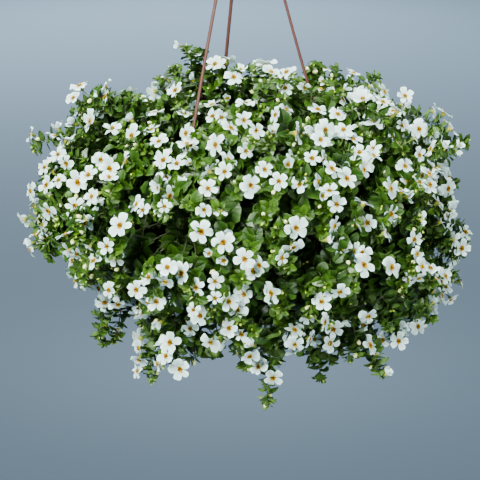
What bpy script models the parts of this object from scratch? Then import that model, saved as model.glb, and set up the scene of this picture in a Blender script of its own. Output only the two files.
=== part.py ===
"""Bacopa hanging basket.

A round plastic pot hangs from a three-legged plastic hanger, and three trailing
bacopa plants grow out of it into one wide mound that hides the pot.  Metres, +Z up.
The origin is the point where the hook bears on its bracket, so all the rest hangs
below it, and the pot's axis is the Z axis.
"""

import math

import bmesh
import bpy
import numpy as np

# Driving dimensions, metres
GAP = 0.0003  # clearance between pieces that touch
HOOK_INSIDE = 0.030  # inner diameter of the hook
HOOK_THICK = 0.0046
HOOK_SWEEP = (-38, 212)  # degrees about the hook's middle, from its neck over the top to its end
BOSS_DROP = 0.075  # from the origin down to the underside of the boss under the hook
BOSS_RINGS = ((0, 0.0090), (0.001, 0.0100), (0.009, 0.0094), (0.012, 0.0050), (0.016, 0.0030))
NECK_RISE = 0.024  # from the boss's underside up to where the plain rod starts
LEG_DROP = 0.322  # from the boss's underside down to the top of the pot's rim
LEG_WIDTH = 0.0034
LEG_DEPTH = 0.0028
LEG_TOP_RADIUS = 0.0062  # how far from the axis the legs leave the boss
LEG_STUBS = (0.003, 0.014)  # upright stretches under the boss and over the rim
BARB_CATCH = 0.0002  # how far under the ledge the barb of a leg's foot lies
BARB_HALF = (0.0040, 0.0016)  # half width and half depth of the barb
FOOT_LENGTH = 0.008  # below the ledge
FOOT_END = 0.0010
RIM_RADIUS = 0.0995
POT_HEIGHT = 0.112
POT_BASE_RADIUS = 0.066
WALL = 0.0016
MOUND_RADIUS = 0.222  # where the outermost shoots end
MOUND_RISE = 0.152  # above the mound's middle, which lies a little under the rim
MOUND_FALL = 0.160
MOUND_MIDDLE = -0.012
SHOOTS = 50
STEM_RADIUS = 0.0013
STEM_TAPER = 0.35  # share of its radius that a stem loses by its tip
FLOWER_RADIUS = 0.0118
FLOWER_DEPTH = 0.0045
FLOWER_BACK = 0.0012  # how far the middle of the face lies behind the petals' rim
PETAL_CUT = 0.58  # how near the cuts between petals come to the middle, as a share
STALK_LENGTH = 0.009
END_STALK_LENGTH = 0.004  # of the flower at the very tip
STALK_RADIUS = 0.0006
LEAF_LENGTH = 0.017
LEAF_THICK = 0.0010
LEAF_WAIST = (0.55, 0.31)  # where a leaf is widest, and its half width there, per length

# Places that follow from them
RIM_Z = -(BOSS_DROP + LEG_DROP)
POT_BASE_Z = RIM_Z - POT_HEIGHT
LEDGE = 0.002  # thickness of the flat ledge round the top of the pot
LIP_FALL = 0.016  # how far the rim's outer lip turns down
LIP_WALL = 0.0018
WALL_TOP_RADIUS = 0.0905  # outside of the wall, under the ledge
SLOT_RADIUS = (WALL_TOP_RADIUS + RIM_RADIUS - LIP_WALL) / 2
SLOT_HALF = 0.0020
DRAINS = 6
DRAIN_RADIUS = 0.0045
DRAIN_CIRCLE = 0.044
CUT_OVER = 0.001  # how far cutters run past the faces that they cut
SOIL_TOP_Z = RIM_Z - 0.009
SOIL_CROWN = 0.004  # how much higher the soil is in the middle than at the wall
LEG_AZIMUTHS = [math.radians(a) for a in (-130, -10, 110)]
LEG_NAMES = ("front_left", "right", "rear_left")
LEG_BOWS = ((0.003, -0.0015), (-0.0035, 0.0), (0.0, 0.0))  # outward and sideways
PLANT_RADIUS = 0.044  # the three plants stand this far from the middle of the pot
PLANT_AZIMUTHS = [math.radians(a) for a in (50, 170, 290)]
GOLDEN_ANGLE = math.pi * (3 - math.sqrt(5))
TURNED_SIDES = 40
HANGER = -1  # owner of the space that the hanger's legs take; shoots own theirs by number
TOP_POLAR = math.radians(10)  # the shoots' tips are spread between these angles from straight up
UNDER_POLAR = math.radians(149)
ROOT_RING = (0.009, 0.066)  # shoots that end higher root nearer the pot's middle
ROOT_SPREAD = 0.62  # share of the way from the plant's middle to that ring
RISE = (0.045, 0.055)  # how steeply a shoot starts, and how much more if it ends low
ARRIVE = (0.055, 0.075)  # the same for how straight it ends
ARCH_RADIUS = 0.152  # shoots that hang down arch at least this far out
STATIONS = 100  # steps along a shoot's path
BARE_STATIONS = (0, 13, 26)
JOINT_STATIONS = (38, 49, 60, 71, 82, 93)
RIM_CLEARANCE = 0.001

# Balls that stand for a leaf or a flower when room is looked for
NEAR_ROOT = 0.009  # a shoot's own parts may be this near to where a new one starts
LEAF_BALLS = ((0.34, 0.20), (0.60, 0.27), (0.86, 0.16))  # place and radius, per length
PETAL_BALL_PLACE = 0.62  # share of the flower's radius
FLOWER_BALLS = (0.0035, 0.0047, 0.0047, 0.0047, 0.0047, 0.0047)  # middle and five petals

COLOURS = {
    "terracotta_plastic": ((0.30, 0.085, 0.055), 0.5),
    "potting_mix": ((0.035, 0.022, 0.014), 0.95),
    "foliage": ((0.10, 0.22, 0.035), 0.55),
}


# ---- helpers ---------------------------------------------------------------


def unit(vector):
    vector = np.asarray(vector, float)
    return vector / np.linalg.norm(vector)


def around(azimuth):
    """Outward and sideways unit vectors at an azimuth about the pot's axis."""
    outward = np.array([math.cos(azimuth), math.sin(azimuth), 0.0])
    sideways = np.array([-math.sin(azimuth), math.cos(azimuth), 0.0])
    return outward, sideways


def bezier(ends, count):
    """Points on a cubic Bezier curve, evenly spaced in its parameter."""
    t = np.linspace(0, 1, count)[:, None]
    a, b, c, d = (np.asarray(p, float) for p in ends)
    return a * (1 - t) ** 3 + 3 * b * t * (1 - t) ** 2 + 3 * c * t**2 * (1 - t) + d * t**3


def material(name):
    colour, roughness = COLOURS[name]
    made = bpy.data.materials.get(name) or bpy.data.materials.new(name)
    made.use_nodes = True
    shader = made.node_tree.nodes["Principled BSDF"]
    shader.inputs["Base Color"].default_value = (*colour, 1)
    shader.inputs["Roughness"].default_value = roughness
    shader.inputs["Metallic"].default_value = 0
    return made


def add_object(name, bm, material_name):
    """Closes a bmesh into a named object with its faces pointing out."""
    bmesh.ops.recalc_face_normals(bm, faces=bm.faces)
    mesh = bpy.data.meshes.new(name)
    bm.to_mesh(mesh)
    bm.free()
    mesh.shade_smooth()
    mesh.set_sharp_from_angle(angle=math.radians(35))
    mesh.materials.append(material(material_name))
    made = bpy.data.objects.new(name, mesh)
    bpy.context.collection.objects.link(made)
    return made


def ring(bm, points):
    return [bm.verts.new(p) for p in points]


def square(centre, side, upper, half_side, half_upper):
    """Four points about a centre, in the order that every four-sided ring here keeps."""
    signs = ((1, 1), (-1, 1), (-1, -1), (1, -1))
    return [centre + a * half_side * side + b * half_upper * upper for a, b in signs]


def zip_rings(bm, lower, upper):
    """Triangles between two closed rings, which may have different numbers of points."""
    i = j = 0
    while i < len(lower) or j < len(upper):
        a, b = lower[i % len(lower)], upper[j % len(upper)]
        if j == len(upper) or (i < len(lower) and (i + 1) / len(lower) <= (j + 1) / len(upper)):
            i += 1
            bm.faces.new((a, lower[i % len(lower)], b))
        else:
            j += 1
            bm.faces.new((a, upper[j % len(upper)], b))


def fan(bm, rim, tip):
    """Triangles from a closed ring to one point."""
    end = bm.verts.new(tip)
    for a, b in zip(rim, rim[1:] + rim[:1]):
        bm.faces.new((a, b, end))


def frames_along(points, across):
    """Tangent, side and upper vectors at each point; the side is as near across as it can be."""
    tangents = np.gradient(points, axis=0)
    tangents /= np.linalg.norm(tangents, axis=1)[:, None]
    sides = across - (tangents @ across)[:, None] * tangents
    sides /= np.linalg.norm(sides, axis=1)[:, None]
    return tangents, sides, np.cross(tangents, sides)


def sweep(points, across, half_wide, half_deep, corners):
    """A closed rod along points, with an elliptical section given at each of them."""
    bm = bmesh.new()
    _, sides, uppers = frames_along(points, np.asarray(across, float))
    angles = (np.arange(corners) + 0.5) * 2 * math.pi / corners
    wide = np.cos(angles)[None, :, None] * np.broadcast_to(half_wide, len(points))[:, None, None]
    deep = np.sin(angles)[None, :, None] * np.broadcast_to(half_deep, len(points))[:, None, None]
    sections = points[:, None] + wide * sides[:, None] + deep * uppers[:, None]
    rings = [ring(bm, section) for section in sections]
    for lower, upper in zip(rings, rings[1:]):
        zip_rings(bm, lower, upper)
    bm.faces.new(rings[0])
    bm.faces.new(rings[-1])
    return bm


def turn(profile):
    """A solid turned about Z from a profile of (radius, height) that starts and ends on the axis."""
    bm = bmesh.new()
    angles = np.arange(TURNED_SIDES) * 2 * math.pi / TURNED_SIDES
    rings = [
        ring(bm, [(r * math.cos(a), r * math.sin(a), z) for a in angles])
        for r, z in profile[1:-1]
    ]
    for lower, upper in zip(rings, rings[1:]):
        zip_rings(bm, lower, upper)
    fan(bm, rings[0], (0, 0, profile[0][1]))
    fan(bm, rings[-1], (0, 0, profile[-1][1]))
    return bm


# ---- pot and soil ----------------------------------------------------------


def inner_radius(z):
    """Radius of the pot's inner wall at a height."""
    share = (z - POT_BASE_Z) / POT_HEIGHT
    return (POT_BASE_RADIUS + share * (WALL_TOP_RADIUS - POT_BASE_RADIUS)) - WALL


def soil_top(radius):
    """Height of the soil's gently crowned top at a distance from the axis."""
    return SOIL_TOP_Z - SOIL_CROWN * (radius / WALL_TOP_RADIUS) ** 2


def add_prism(bm, outline, low_z, high_z):
    """A straight-sided block over an outline of points about the origin's height."""
    low = ring(bm, [point + (0, 0, low_z) for point in outline])
    high = ring(bm, [point + (0, 0, high_z) for point in outline])
    zip_rings(bm, low, high)
    bm.faces.new(low)
    bm.faces.new(high)


def add_cutters():
    """Blocks for the three slots in the ledge and drums for the drainage holes in the base."""
    bm = bmesh.new()
    for azimuth in LEG_AZIMUTHS:
        outward, sideways = around(azimuth)
        outline = square(outward * SLOT_RADIUS, outward, sideways, SLOT_HALF, SLOT_HALF)
        add_prism(bm, outline, RIM_Z - LEDGE - CUT_OVER, RIM_Z + CUT_OVER)
    for hole in range(DRAINS):
        middle = around(hole * 2 * math.pi / DRAINS)[0] * DRAIN_CIRCLE
        outline = [middle + around(k * math.pi / 5)[0] * DRAIN_RADIUS for k in range(10)]
        add_prism(bm, outline, POT_BASE_Z - CUT_OVER, POT_BASE_Z + WALL + CUT_OVER)
    cutters = add_object("pot_cutters", bm, "terracotta_plastic")
    cutters.hide_render = True
    cutters.display_type = "WIRE"
    return cutters


def add_pot():
    """A tapered shell with a flat ledge at the top and a lip that turns down round it."""
    lip_in = RIM_RADIUS - LIP_WALL
    floor = POT_BASE_Z + WALL
    profile = [
        (0, floor),
        (inner_radius(floor) - 0.003, floor),
        (inner_radius(floor + 0.003), floor + 0.003),
        (inner_radius(RIM_Z - 0.001), RIM_Z - 0.001),
        (inner_radius(RIM_Z) + 0.001, RIM_Z),
        (RIM_RADIUS - 0.001, RIM_Z),
        (RIM_RADIUS, RIM_Z - 0.001),
        (RIM_RADIUS, RIM_Z - LIP_FALL),
        (lip_in, RIM_Z - LIP_FALL),
        (lip_in, RIM_Z - LEDGE),
        (WALL_TOP_RADIUS, RIM_Z - LEDGE),
        (POT_BASE_RADIUS + 0.0005, POT_BASE_Z + 0.003),
        (POT_BASE_RADIUS - 0.002, POT_BASE_Z),
        (0, POT_BASE_Z),
    ]
    pot = add_object("pot", turn(profile), "terracotta_plastic")
    cut = pot.modifiers.new("slots_and_drainage", "BOOLEAN")
    cut.operation = "DIFFERENCE"
    cut.object = add_cutters()


def add_soil():
    """Potting mix that fills the pot to just under its rim, with a gently crowned top."""
    floor = POT_BASE_Z + WALL + GAP
    edge_z = soil_top(WALL_TOP_RADIUS)
    edge = inner_radius(edge_z) - GAP
    rounds = [edge * share for share in (0.8, 0.6, 0.4, 0.2)]
    profile = [(0, floor), (inner_radius(floor) - 0.0035, floor)]
    profile.append((inner_radius(floor + 0.004) - GAP, floor + 0.004))
    profile.append((edge, edge_z))
    profile += [(radius, soil_top(radius)) for radius in rounds]
    profile.append((0, soil_top(0)))
    add_object("soil", turn(profile), "potting_mix")


# ---- hanger ----------------------------------------------------------------


def add_hook():
    """A question-mark hook that thickens into a boss at its foot, where the legs start."""
    bend = HOOK_INSIDE / 2 + HOOK_THICK / 2
    centre = np.array([0, 0, -HOOK_INSIDE / 2])
    angles = np.radians(np.linspace(*HOOK_SWEEP, 22))
    arc = np.array([centre + bend * np.array([math.cos(a), 0, math.sin(a)]) for a in angles])
    start = np.array([-math.sin(angles[0]), 0, math.cos(angles[0])])
    foot = np.array([0, 0, -BOSS_DROP + NECK_RISE])
    neck = bezier((foot, foot + (0, 0, 0.010), arc[0] - start * 0.012, arc[0]), 6)
    boss = np.array([(0, 0, -BOSS_DROP + height) for height, _ in BOSS_RINGS])
    points = np.vstack((boss, neck[:-1], arc))
    radii = np.full(len(points), HOOK_THICK / 2)
    radii[: len(boss)] = [radius for _, radius in BOSS_RINGS]
    radii[-1] *= 0.6
    add_object("hanger_hook", sweep(points, (0, 1, 0), radii, radii, 8), "terracotta_plastic")


def leg_path(azimuth, bow):
    """Down from the boss, in a slight bow to the slot in the rim, and straight down through it."""
    outward, sideways = around(azimuth)
    top = outward * LEG_TOP_RADIUS + (0, 0, -BOSS_DROP - GAP)
    start = top - (0, 0, LEG_STUBS[0])
    foot = outward * SLOT_RADIUS + (0, 0, RIM_Z + LEG_STUBS[1])
    share = np.linspace(0, 1, 14)[:, None]
    swell = 4 * share * (1 - share)
    run = start + (foot - start) * share + swell * (bow[0] * outward + bow[1] * sideways)
    barb = -LEDGE - BARB_CATCH
    below = (0.008, 0.002, barb, barb - GAP, -LEDGE - FOOT_LENGTH)
    tail = outward * SLOT_RADIUS + np.array([(0, 0, RIM_Z + z) for z in below])
    return np.vstack((top, run, tail))


def add_legs():
    """Three legs whose barbed feet pass through the rim's slots and catch under its ledge."""
    for azimuth, bow, name in zip(LEG_AZIMUTHS, LEG_BOWS, LEG_NAMES):
        points = leg_path(azimuth, bow)
        wide = np.full(len(points), LEG_WIDTH / 2)
        deep = np.full(len(points), LEG_DEPTH / 2)
        wide[-2:] = (BARB_HALF[0], FOOT_END)
        deep[-2:] = (BARB_HALF[1], FOOT_END)
        _, sideways = around(azimuth)
        rod = sweep(points, sideways, wide, deep, 6)
        add_object(f"hanger_leg_{name}", rod, "terracotta_plastic")


# ---- shoots ----------------------------------------------------------------


class Taken:
    """Balls of space that pieces already fill, so that new leaves and flowers stay clear."""

    def __init__(self):
        self.centres = np.zeros((0, 3))
        self.radii = np.zeros(0)
        self.owners = np.zeros(0, int)

    def add(self, centres, radii, owner):
        self.centres = np.vstack((self.centres, centres))
        self.radii = np.concatenate((self.radii, np.broadcast_to(radii, len(centres))))
        self.owners = np.concatenate((self.owners, np.full(len(centres), owner)))

    def is_clear(self, centres, radii, owner, root):
        """Whether balls are clear of all others, except the owner's own close to the root."""
        near_root = np.linalg.norm(self.centres - root, axis=1) < NEAR_ROOT
        others = ~((self.owners == owner) & near_root)
        apart = np.linalg.norm(self.centres[others][None] - centres[:, None], axis=2)
        room = apart - self.radii[others][None] - np.asarray(radii)[:, None]
        return room.min() > 2 * GAP and clear_of_pot(centres, radii)


def clear_of_pot(centres, radii):
    """Whether balls are above the rim and the soil, or outside the pot."""
    outside = np.hypot(centres[:, 0], centres[:, 1]) - radii > RIM_RADIUS + RIM_CLEARANCE
    above = centres[:, 2] - radii > RIM_Z + RIM_CLEARANCE
    return bool((outside | above).all())


def mound_point(polar, azimuth):
    """A point on the mound: a rounded dome above the rim and a shorter skirt below it."""
    rounded = 0.87
    radius = MOUND_RADIUS * math.sin(polar) ** rounded
    height = abs(math.cos(polar)) ** rounded
    height *= MOUND_RISE if polar < math.pi / 2 else -MOUND_FALL
    outward, _ = around(azimuth)
    return outward * radius + (0, 0, RIM_Z + MOUND_MIDDLE + height)


def shoot_place(index):
    """Polar angle and azimuth of a shoot's tip, spread evenly over the mound."""
    top, under = math.cos(TOP_POLAR), math.cos(UNDER_POLAR)
    polar = math.acos(top + (under - top) * (index + 0.5) / SHOOTS)
    return polar, (index * GOLDEN_ANGLE + 0.4) % (2 * math.pi)


def plant_of(azimuth):
    """Number of the plant that a shoot at this azimuth belongs to."""
    turns = [math.cos(azimuth - a) for a in PLANT_AZIMUTHS]
    return turns.index(max(turns))


def shoot_path(polar, azimuth):
    """Up out of the soil, over the rim and out to the mound, hanging down where it is low."""
    outward, _ = around(azimuth)
    centre = around(PLANT_AZIMUTHS[plant_of(azimuth)])[0] * PLANT_RADIUS
    spread = outward * (ROOT_RING[0] + ROOT_RING[1] * polar / math.radians(150))
    root = centre + ROOT_SPREAD * (spread - centre)
    root = root + (0, 0, soil_top(np.linalg.norm(root)) + GAP)
    tip = mound_point(polar, azimuth)
    lean = min(1.12 * polar, math.pi)
    heading = outward * math.sin(lean) + np.array([0, 0, math.cos(lean)])
    low = math.sin(polar / 2) ** 2
    before_tip = tip - heading * (ARRIVE[0] + ARRIVE[1] * low)
    if polar > math.radians(100):
        before_tip += outward * max(0, ARCH_RADIUS - math.hypot(before_tip[0], before_tip[1]))
    return bezier((root, root + (0, 0, RISE[0] + RISE[1] * low), before_tip, tip), STATIONS + 1)


def star(centre, side, upper):
    """Ten points of a flower's outline: five round petals, and the cuts between them."""
    angles = np.arange(10)[:, None] * math.pi / 5
    reach = FLOWER_RADIUS * np.where(np.arange(10) % 2 == 0, 1, PETAL_CUT)[:, None]
    return centre + reach * (np.cos(angles) * side + np.sin(angles) * upper)


def matched(socket, target):
    """The socket's points in the order, and from the start, that fit a target ring best."""
    orders = [socket[k:] + socket[:k] for k in range(4)]
    orders += [order[::-1] for order in orders]
    return min(orders, key=lambda o: sum((a.co - b.co).length for a, b in zip(o, target)))


class Shoot:
    """One shoot: a four-sided stem, pairs of leaves at its joints, and flowers beside them."""

    def __init__(self, polar, azimuth, number, taken):
        self.bm = bmesh.new()
        self.number, self.taken = number, taken
        self.outward = unit(mound_point(polar, azimuth) - (0, 0, RIM_Z))
        self.path = shoot_path(polar, azimuth)
        self.tangents, self.sides, self.uppers = frames_along(self.path, around(azimuth)[1])

    def section(self, station):
        half = STEM_RADIUS * (1 - STEM_TAPER * station / STATIONS)
        return ring(
            self.bm,
            square(self.path[station], self.sides[station], self.uppers[station], half, half),
        )

    def facing(self, station, wall):
        """Outward direction of one of the stem's four walls."""
        side, upper = self.sides[station], self.uppers[station]
        return (upper, -side, -upper, side)[wall]

    def has_room(self, balls, radii, root):
        if not self.taken.is_clear(balls, radii, self.number, root):
            return False
        self.taken.add(balls, radii, self.number)
        return True

    def grow_leaf(self, socket, station, wall):
        """A leaf that is widest in its middle, grown from four points of the stem."""
        tangent, normal = self.tangents[station], self.facing(station, wall)
        direction = unit(0.85 * normal + 0.5 * tangent)
        length = LEAF_LENGTH * (1.15 - 0.4 * station / STATIONS)
        root = np.mean([v.co for v in socket], axis=0)
        places, radii = length * np.transpose(LEAF_BALLS)
        if not self.has_room(root + direction * places[:, None], radii, root):
            return False
        side = unit(np.cross(direction, tangent))
        middle = root + direction * LEAF_WAIST[0] * length
        upper = np.cross(side, direction)
        half = LEAF_WAIST[1] * length
        waist = ring(self.bm, square(middle, side, upper, half, LEAF_THICK / 2))
        zip_rings(self.bm, matched(socket, waist), waist)
        fan(self.bm, waist, root + direction * length)
        return True

    def grow_flower(self, socket, direction, stalk):
        """A thin stalk and an open five-petalled flower, grown from four points of the stem."""
        root = np.mean([v.co for v in socket], axis=0)
        neck = root + direction * stalk
        centre = neck + direction * FLOWER_DEPTH
        side = unit(np.cross(direction, self.outward + (0.1, 0.2, 0.3)))
        upper = np.cross(direction, side)
        outline = star(centre, side, upper)
        lobes = centre + PETAL_BALL_PLACE * (outline[::2] - centre)
        if not self.has_room(np.vstack((centre, lobes)), np.array(FLOWER_BALLS), root):
            return False
        collar = ring(self.bm, square(neck, side, upper, STALK_RADIUS, STALK_RADIUS))
        petals = ring(self.bm, outline)
        zip_rings(self.bm, matched(socket, collar), collar)
        zip_rings(self.bm, collar, petals)
        fan(self.bm, petals, centre - direction * FLOWER_BACK)
        return True

    def grow_at_joint(self, socket, station, joint, wall):
        """Leaves on two opposite walls, turned a quarter at each joint, and a flower on a third."""
        if (wall + joint) % 2 == 1:
            return self.grow_leaf(socket, station, wall)
        if wall == (0 if joint % 2 == 0 else 3 - 2 * (joint // 2 % 2)):
            normal = self.facing(station, wall)
            direction = unit(0.7 * normal + 0.4 * self.tangents[station] + 0.6 * self.outward)
            return self.grow_flower(socket, direction, STALK_LENGTH)
        return False

    def build(self, name):
        walls_at = {j + step for j in JOINT_STATIONS for step in (-1, 1)}
        stations = sorted({*BARE_STATIONS, STATIONS} | walls_at)
        rings = [self.section(station) for station in stations]
        for lower, upper, station in zip(rings, rings[1:], stations):
            middle = station + 1
            for wall in range(4):
                after = (wall + 1) % 4
                socket = [lower[wall], lower[after], upper[after], upper[wall]]
                joint = JOINT_STATIONS.index(middle) if middle in JOINT_STATIONS else None
                if joint is None or not self.grow_at_joint(socket, middle, joint, wall):
                    self.bm.faces.new(socket)
        self.bm.faces.new(rings[0])
        if not self.grow_flower(rings[-1], self.tangents[-1], END_STALK_LENGTH):
            self.bm.faces.new(rings[-1])
        add_object(name, self.bm, "foliage")


def add_shoots():
    """All stems first, so that every leaf and flower then keeps clear of every stem."""
    taken = Taken()
    for azimuth, bow in zip(LEG_AZIMUTHS, LEG_BOWS):
        leg = leg_path(azimuth, bow)
        between = [leg[:-1] + np.diff(leg, axis=0) * share for share in (0, 0.25, 0.5, 0.75)]
        taken.add(np.vstack(between), LEG_WIDTH / 2 + 0.002, HANGER)
    shoots = []
    for number in range(SHOOTS):
        polar, azimuth = shoot_place(number)
        shoot = Shoot(polar, azimuth, number, taken)
        taken.add(shoot.path, STEM_RADIUS * 1.45, number)
        shoots.append((plant_of(azimuth), shoot))
    counts = [0] * len(PLANT_AZIMUTHS)
    for plant, shoot in shoots:
        counts[plant] += 1
        shoot.build(f"plant_{plant + 1}_shoot_{counts[plant]:02d}")


def main():
    for made in list(bpy.data.objects):
        bpy.data.objects.remove(made, do_unlink=True)
    add_pot()
    add_soil()
    add_hook()
    add_legs()
    add_shoots()


main()
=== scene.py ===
# %% [markdown]
# # A bacopa hanging basket
# Three trailing bacopa plants in full white flower fill a round plastic pot that hangs on a
# three-legged hanger.  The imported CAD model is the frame: it says where the pot, the hanger and
# the fifty main shoots are, and this script makes every surface that is seen.  The flowers could
# be placed one by one, but a plant is easier to believe from every side when it grows by a rule:
# shoots carry leaves, and leaves carry flowers in their corners.

# %% Load the frame
import math

import bpy
import numpy as np
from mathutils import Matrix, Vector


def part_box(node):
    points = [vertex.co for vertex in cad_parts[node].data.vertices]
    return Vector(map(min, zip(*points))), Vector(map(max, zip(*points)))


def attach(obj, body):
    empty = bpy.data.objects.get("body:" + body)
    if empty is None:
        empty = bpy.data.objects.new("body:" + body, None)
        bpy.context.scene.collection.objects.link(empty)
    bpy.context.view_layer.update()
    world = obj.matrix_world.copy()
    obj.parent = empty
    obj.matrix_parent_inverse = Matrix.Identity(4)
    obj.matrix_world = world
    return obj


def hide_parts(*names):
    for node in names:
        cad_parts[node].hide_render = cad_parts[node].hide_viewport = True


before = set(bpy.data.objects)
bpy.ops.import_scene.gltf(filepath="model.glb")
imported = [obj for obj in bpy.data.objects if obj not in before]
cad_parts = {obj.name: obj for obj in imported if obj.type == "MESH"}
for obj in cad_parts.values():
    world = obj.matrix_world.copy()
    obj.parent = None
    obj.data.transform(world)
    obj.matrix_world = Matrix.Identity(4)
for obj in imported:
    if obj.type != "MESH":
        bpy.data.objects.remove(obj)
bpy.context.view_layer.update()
draw = np.random.default_rng(23)

GAP = 0.0003
RIM_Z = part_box("pot")[1].z
POT_BASE_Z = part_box("pot")[0].z
RIM_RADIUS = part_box("pot")[1].x
BOSS_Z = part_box("hanger_leg_right")[1].z + GAP
plants = {}
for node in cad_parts:
    if node.startswith("plant"):
        plants.setdefault(node[:7], []).append(node)
print("rim", round(RIM_Z, 4), "shoots", {plant: len(nodes) for plant, nodes in plants.items()})

# %% [markdown]
# ## Directions and curves
# Nearly everything here is placed by an angle about the pot's axis and carried along a curve, so
# a few small functions come first.  They take whole arrays, so one call serves every shoot.


# %% Directions and curves
def unit(vectors):
    """The same directions with a length of one, along the last axis."""
    return vectors / np.linalg.norm(vectors, axis=-1, keepdims=True)


def around(azimuth):
    """Outward and sideways directions at an azimuth a: (cos a, sin a, 0) and (-sin a, cos a, 0)."""
    azimuth = np.asarray(azimuth, float)
    level = np.zeros_like(azimuth)
    outward = np.stack((np.cos(azimuth), np.sin(azimuth), level), -1)
    sideways = np.stack((-np.sin(azimuth), np.cos(azimuth), level), -1)
    return outward, sideways


def bezier(a, b, c, d, count):
    """Points a(1-t)^3 + 3bt(1-t)^2 + 3ct^2(1-t) + dt^3 for even steps of t, for one curve or many."""
    t = np.linspace(0, 1, count)[:, None]
    a, b, c, d = (np.asarray(p, float)[..., None, :] for p in (a, b, c, d))
    return a * (1 - t) ** 3 + 3 * b * t * (1 - t) ** 2 + 3 * c * t**2 * (1 - t) + d * t**3


def axes_for(along, up):
    """Side, along and upper directions, at right angles: side = along x up, upper = side x along."""
    along = unit(along)
    side = unit(np.cross(along, up))
    return np.stack((side, along, np.cross(side, along)), -2)


UP = np.array([0, 0, 1.0])

# %% [markdown]
# ## Putting shapes into meshes
# A plant is a few shapes repeated thousands of times.  Instances would be light, but a finished
# piece has to be a mesh of its own, so each shape is worked out as an array of points with one
# layer per copy, and a heap joins the layers of a whole plant into one mesh.  Numbers that a
# material needs, such as the age of a leaf, are kept at each point as named attributes.


# %% Heaps of shapes
class Heap:
    """Closed shapes gathered for one piece, with named numbers at every point."""

    def __init__(self):
        self.points, self.faces, self.marks, self.count = [], [], {}, 0

    def add(self, points, faces, **marks):
        """Points (copies, n, 3); faces (f, 4) of one copy, where -1 ends a triangle."""
        copies, size = points.shape[:2]
        shift = self.count + size * np.arange(copies)[:, None, None]
        self.faces.append(np.where(faces < 0, -1, faces + shift).reshape(-1, 4))
        self.points.append(points.reshape(-1, 3))
        for name, values in marks.items():
            values = np.broadcast_to(values, (copies, size)).ravel()
            self.marks.setdefault(name, []).append(values)
        self.count += copies * size
        return self

    def piece(self, name, finish, slot, crease=60):
        """One object at the origin, smooth but for edges sharper than crease degrees."""
        points, faces = np.vstack(self.points), np.vstack(self.faces)
        corners = faces >= 0
        sizes = corners.sum(1)
        mesh = bpy.data.meshes.new(name)
        mesh.vertices.add(len(points))
        mesh.vertices.foreach_set("co", points.ravel())
        mesh.loops.add(int(sizes.sum()))
        mesh.loops.foreach_set("vertex_index", faces[corners])
        mesh.polygons.add(len(faces))
        mesh.polygons.foreach_set("loop_start", np.cumsum(sizes) - sizes)
        for mark, values in self.marks.items():
            layer = mesh.attributes.new(mark, "FLOAT", "POINT")
            layer.data.foreach_set("value", np.concatenate(values))
        mesh.update(calc_edges=True)
        mesh.shade_smooth()
        mesh.set_sharp_from_angle(angle=math.radians(crease))
        mesh.materials.append(finish)
        piece = bpy.data.objects.new(name, mesh)
        bpy.context.collection.objects.link(piece)
        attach(piece, "root")
        print(f"{name}: {len(mesh.loops) - 2 * len(mesh.polygons)} triangles")
        return piece


# %% Faces of the shapes that repeat
def wall_faces(grid):
    """Quads between each ring of point numbers and the next."""
    after = np.roll(grid, -1, 1)
    return np.stack((grid[:-1], after[:-1], after[1:], grid[1:]), -1).reshape(-1, 4)


def tube_faces(rows, sides):
    """Rings of an even number of sides joined by quads, and each end closed by quads that fan out."""
    grid = np.arange(rows * sides).reshape(rows, sides)
    fan = np.array([(0, k, k + 1, k + 2) for k in range(1, sides - 1, 2)])
    return np.vstack((wall_faces(grid), fan[:, ::-1], fan + grid[-1, 0]))


def turned_faces(rings, sides):
    """Faces of a turned shape: a point, rings of points, and a point; triangles close the poles."""
    grid = 1 + np.arange(rings * sides).reshape(rings, sides)
    after = np.roll(grid, -1, 1)
    none = np.full(sides, -1)
    low = np.stack((np.zeros(sides, int), after[0], grid[0], none), -1)
    high = np.stack((np.full(sides, 1 + rings * sides), grid[-1], after[-1], none), -1)
    return np.vstack((wall_faces(grid), low, high))


# %% Points of the shapes that repeat
def turned(radii, heights, sides):
    """Points and faces of a turned shape: r cos a, r sin a and z for each ring, between two poles."""
    angle = np.arange(sides) * 2 * math.pi / sides
    rings = np.broadcast_to(np.asarray(radii, float)[1:-1, None], (len(radii) - 2, sides))
    tall = np.broadcast_to(np.asarray(heights, float)[1:-1, None], rings.shape)
    wall = np.stack((rings * np.cos(angle), rings * np.sin(angle), tall), -1).reshape(-1, 3)
    return np.vstack(((0, 0, heights[0]), wall, (0, 0, heights[-1]))), turned_faces(len(rings), sides)


def rods(paths, hint, wide, deep, sides):
    """Points and faces of rods along paths (n, p, 3), with an even number of sides.

    Each ring is path + wide cos a side + deep sin a upper, and side is the part of hint that is
    square to the path."""
    tangents = unit(np.gradient(paths, axis=1))
    hint = np.asarray(hint, float)
    side = unit(hint - (hint * tangents).sum(-1, keepdims=True) * tangents)
    upper = np.cross(tangents, side)
    angle = (np.arange(sides) + 0.5)[:, None] * 2 * math.pi / sides
    wide, deep = (np.broadcast_to(w, paths.shape[:2])[..., None, None] for w in (wide, deep))
    rim = np.cos(angle) * wide * side[:, :, None] + np.sin(angle) * deep * upper[:, :, None]
    return (paths[:, :, None] + rim).reshape(len(paths), -1, 3), tube_faces(paths.shape[1], sides)


def stamped(shape, places, axes, scale=1.0):
    """Copies of a shape (n, 3), or one for each copy (copies, n, 3), turned to axes and set at places."""
    scale = np.asarray(scale, float).reshape(-1, 1, 1)
    return places[:, None] + np.einsum("...ni,...ij->...nj", shape * scale, axes)


# %% [markdown]
# ## Camera
# The basket hangs with the viewer's eye a little above it, looking down by about thirteen degrees.
# The view is cut off above the mound, so the hook is out of sight.  A long lens from 1.7 m keeps
# the near flowers from looking much larger than the far ones.

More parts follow.
